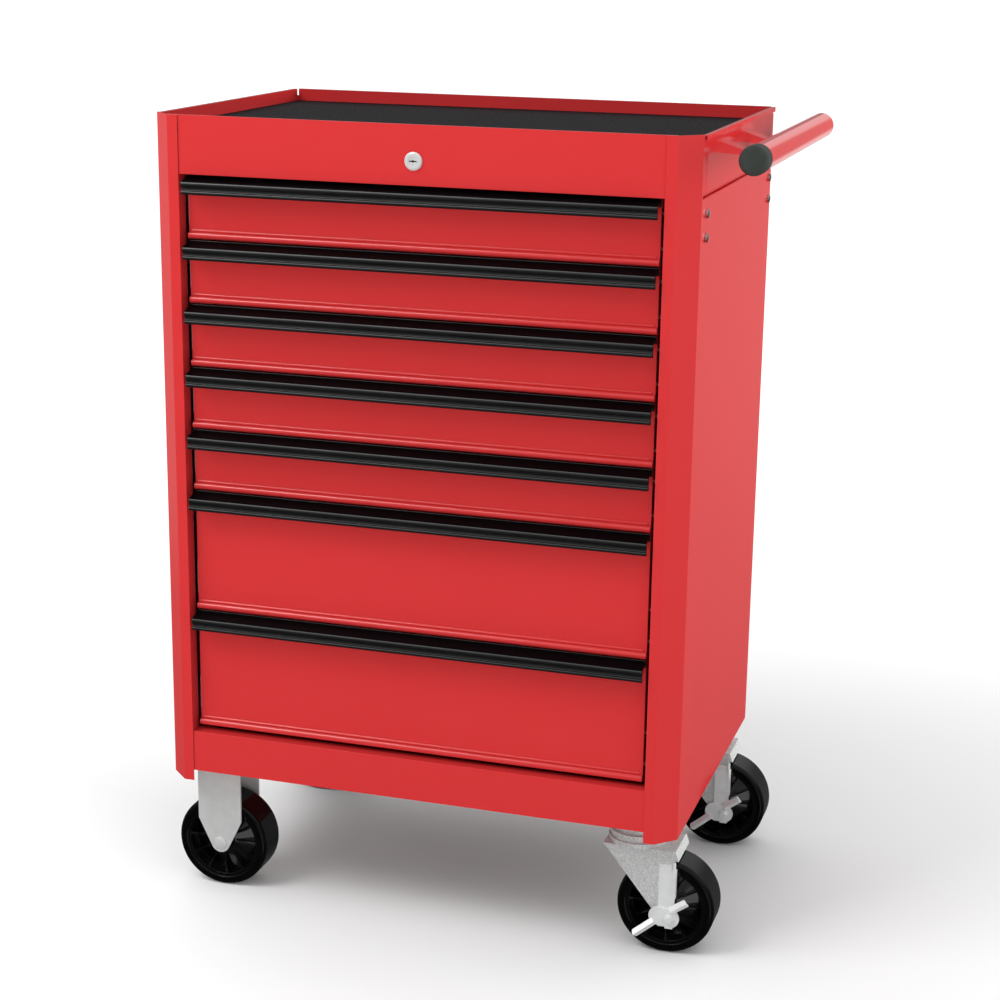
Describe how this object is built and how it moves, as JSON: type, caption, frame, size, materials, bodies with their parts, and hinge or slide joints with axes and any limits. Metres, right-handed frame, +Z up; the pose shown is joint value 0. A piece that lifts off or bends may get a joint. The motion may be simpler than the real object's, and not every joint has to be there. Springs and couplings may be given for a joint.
{
  "type": "rolling tool cabinet",
  "caption": "Red steel rolling tool cabinet: stacked locking drawers with full-width pulls, a lipped top tray, a tubular side handle, and fixed and braked swivel casters.",
  "frame": {"origin": "on the floor, under the middle of the cabinet's body", "axes": "+X towards the side with the handle, the drawers open towards -Y, +Z up"},
  "size_m": [0.757, 0.5311, 1.0249],
  "materials": {
    "red_paint": "glossy powder coat",
    "pull_black": "satin black coat",
    "black_plastic": "satin moulded",
    "mat": "fine ribbed rubber",
    "zinc": "zinc plated, spangled",
    "slide_steel": "bright zinc",
    "chrome": "polished",
    "wheel_black": "moulded core, rubber tread"
  },
  "bodies": {
    "cabinet": {"left_side_panel": "red_paint", "right_side_panel": "red_paint", "back_panel": "red_paint", "base_pan": "red_paint", "front_top_panel": "red_paint", "top_tray": "red_paint", "tray_mat": "mat", "slide_uprights": "slide_steel", "outer_rails": "slide_steel", "lock_housing": "chrome", "lock_guides": "black_plastic", "handle_tube": "red_paint", "handle_caps": "black_plastic", "handle_brackets": "red_paint", "fasteners": "chrome", "fixed_forks": "zinc", "fixed_axles": "zinc", "swivel_plates": "zinc"},
    "lock_plug": {"lock_plug": "chrome"},
    "lock_bar": {"lock_bar": "slide_steel"},
    "drawer_1": {"drawer_1": "red_paint", "pull_1": "pull_black", "inner_rails_1": "slide_steel"},
    "slide_1": {"mid_rails_1": "slide_steel"},
    "drawer_2": {"drawer_2": "red_paint", "pull_2": "pull_black", "inner_rails_2": "slide_steel"},
    "slide_2": {"mid_rails_2": "slide_steel"},
    "drawer_3": {"drawer_3": "red_paint", "pull_3": "pull_black", "inner_rails_3": "slide_steel"},
    "slide_3": {"mid_rails_3": "slide_steel"},
    "drawer_4": {"drawer_4": "red_paint", "pull_4": "pull_black", "inner_rails_4": "slide_steel"},
    "slide_4": {"mid_rails_4": "slide_steel"},
    "drawer_5": {"drawer_5": "red_paint", "pull_5": "pull_black", "inner_rails_5": "slide_steel"},
    "slide_5": {"mid_rails_5": "slide_steel"},
    "drawer_6": {"drawer_6": "red_paint", "pull_6": "pull_black", "inner_rails_6": "slide_steel"},
    "slide_6": {"mid_rails_6": "slide_steel"},
    "drawer_7": {"drawer_7": "red_paint", "pull_7": "pull_black", "inner_rails_7": "slide_steel"},
    "slide_7": {"mid_rails_7": "slide_steel"},
    "wheel_front_left": {"wheel_front_left": "wheel_black"},
    "swivel_front": {"swivel_fork_front": "zinc", "axle_front": "zinc", "brake_strip_front": "zinc"},
    "wheel_front_right": {"wheel_front_right": "wheel_black"},
    "brake_front": {"brake_lever_front": "zinc"},
    "wheel_rear_left": {"wheel_rear_left": "wheel_black"},
    "swivel_rear": {"swivel_fork_rear": "zinc", "axle_rear": "zinc", "brake_strip_rear": "zinc"},
    "wheel_rear_right": {"wheel_rear_right": "wheel_black"},
    "brake_rear": {"brake_lever_rear": "zinc"}
  },
  "joints": [
    {"name": "drawer_1_slide", "type": "slide", "parent": "cabinet", "child": "drawer_1", "axis": [0, -1, 0], "range_m": [0, 0.4]},
    {"name": "mid_rails_1_slide", "type": "slide", "parent": "cabinet", "child": "slide_1", "axis": [0, -1, 0], "range_m": [0, 0.2]},
    {"name": "drawer_2_slide", "type": "slide", "parent": "cabinet", "child": "drawer_2", "axis": [0, -1, 0], "range_m": [0, 0.4]},
    {"name": "mid_rails_2_slide", "type": "slide", "parent": "cabinet", "child": "slide_2", "axis": [0, -1, 0], "range_m": [0, 0.2]},
    {"name": "drawer_3_slide", "type": "slide", "parent": "cabinet", "child": "drawer_3", "axis": [0, -1, 0], "range_m": [0, 0.4]},
    {"name": "mid_rails_3_slide", "type": "slide", "parent": "cabinet", "child": "slide_3", "axis": [0, -1, 0], "range_m": [0, 0.2]},
    {"name": "drawer_4_slide", "type": "slide", "parent": "cabinet", "child": "drawer_4", "axis": [0, -1, 0], "range_m": [0, 0.4]},
    {"name": "mid_rails_4_slide", "type": "slide", "parent": "cabinet", "child": "slide_4", "axis": [0, -1, 0], "range_m": [0, 0.2]},
    {"name": "drawer_5_slide", "type": "slide", "parent": "cabinet", "child": "drawer_5", "axis": [0, -1, 0], "range_m": [0, 0.4]},
    {"name": "mid_rails_5_slide", "type": "slide", "parent": "cabinet", "child": "slide_5", "axis": [0, -1, 0], "range_m": [0, 0.2]},
    {"name": "drawer_6_slide", "type": "slide", "parent": "cabinet", "child": "drawer_6", "axis": [0, -1, 0], "range_m": [0, 0.4]},
    {"name": "mid_rails_6_slide", "type": "slide", "parent": "cabinet", "child": "slide_6", "axis": [0, -1, 0], "range_m": [0, 0.2]},
    {"name": "drawer_7_slide", "type": "slide", "parent": "cabinet", "child": "drawer_7", "axis": [0, -1, 0], "range_m": [0, 0.4]},
    {"name": "mid_rails_7_slide", "type": "slide", "parent": "cabinet", "child": "slide_7", "axis": [0, -1, 0], "range_m": [0, 0.2]},
    {"name": "lock_turn", "type": "hinge", "parent": "cabinet", "child": "lock_plug", "pos_m": [0, -0.2325, 0.98226], "axis": [0, -1, 0], "range_deg": [0, 90]},
    {"name": "lock_bar_lift", "type": "slide", "parent": "cabinet", "child": "lock_bar", "axis": [0, 0, 1], "range_m": [0, 0.01272]},
    {"name": "wheel_front_left_spin", "type": "hinge", "parent": "cabinet", "child": "wheel_front_left", "pos_m": [-0.282, -0.1685, 0.0625], "axis": [0, 1, 0], "continuous": true},
    {"name": "swivel_front_turn", "type": "hinge", "parent": "cabinet", "child": "swivel_front", "pos_m": [0.282, -0.1685, 0.15], "axis": [0, 0, 1], "continuous": true},
    {"name": "wheel_front_right_spin", "type": "hinge", "parent": "swivel_front", "child": "wheel_front_right", "pos_m": [0.324, -0.1685, 0.0625], "axis": [0, 1, 0], "continuous": true},
    {"name": "brake_front_press", "type": "hinge", "parent": "swivel_front", "child": "brake_front", "pos_m": [0.332, -0.1685, 0.053], "axis": [0, 1, 0], "range_deg": [0, 30]},
    {"name": "wheel_rear_left_spin", "type": "hinge", "parent": "cabinet", "child": "wheel_rear_left", "pos_m": [-0.282, 0.1735, 0.0625], "axis": [0, 1, 0], "continuous": true},
    {"name": "swivel_rear_turn", "type": "hinge", "parent": "cabinet", "child": "swivel_rear", "pos_m": [0.282, 0.1735, 0.15], "axis": [0, 0, 1], "continuous": true},
    {"name": "wheel_rear_right_spin", "type": "hinge", "parent": "swivel_rear", "child": "wheel_rear_right", "pos_m": [0.324, 0.1735, 0.0625], "axis": [0, 1, 0], "continuous": true},
    {"name": "brake_rear_press", "type": "hinge", "parent": "swivel_rear", "child": "brake_rear", "pos_m": [0.332, 0.1735, 0.053], "axis": [0, 1, 0], "range_deg": [0, 30]}
  ],
  "couplings": [
    {"joint": "mid_rails_1_slide", "follows": "drawer_1_slide", "ratio": 0.5},
    {"joint": "mid_rails_2_slide", "follows": "drawer_2_slide", "ratio": 0.5},
    {"joint": "mid_rails_3_slide", "follows": "drawer_3_slide", "ratio": 0.5},
    {"joint": "mid_rails_4_slide", "follows": "drawer_4_slide", "ratio": 0.5},
    {"joint": "mid_rails_5_slide", "follows": "drawer_5_slide", "ratio": 0.5},
    {"joint": "mid_rails_6_slide", "follows": "drawer_6_slide", "ratio": 0.5},
    {"joint": "mid_rails_7_slide", "follows": "drawer_7_slide", "ratio": 0.5},
    {"joint": "lock_turn", "follows": "lock_bar_lift", "rad_per_m": 123.41}
  ]
}
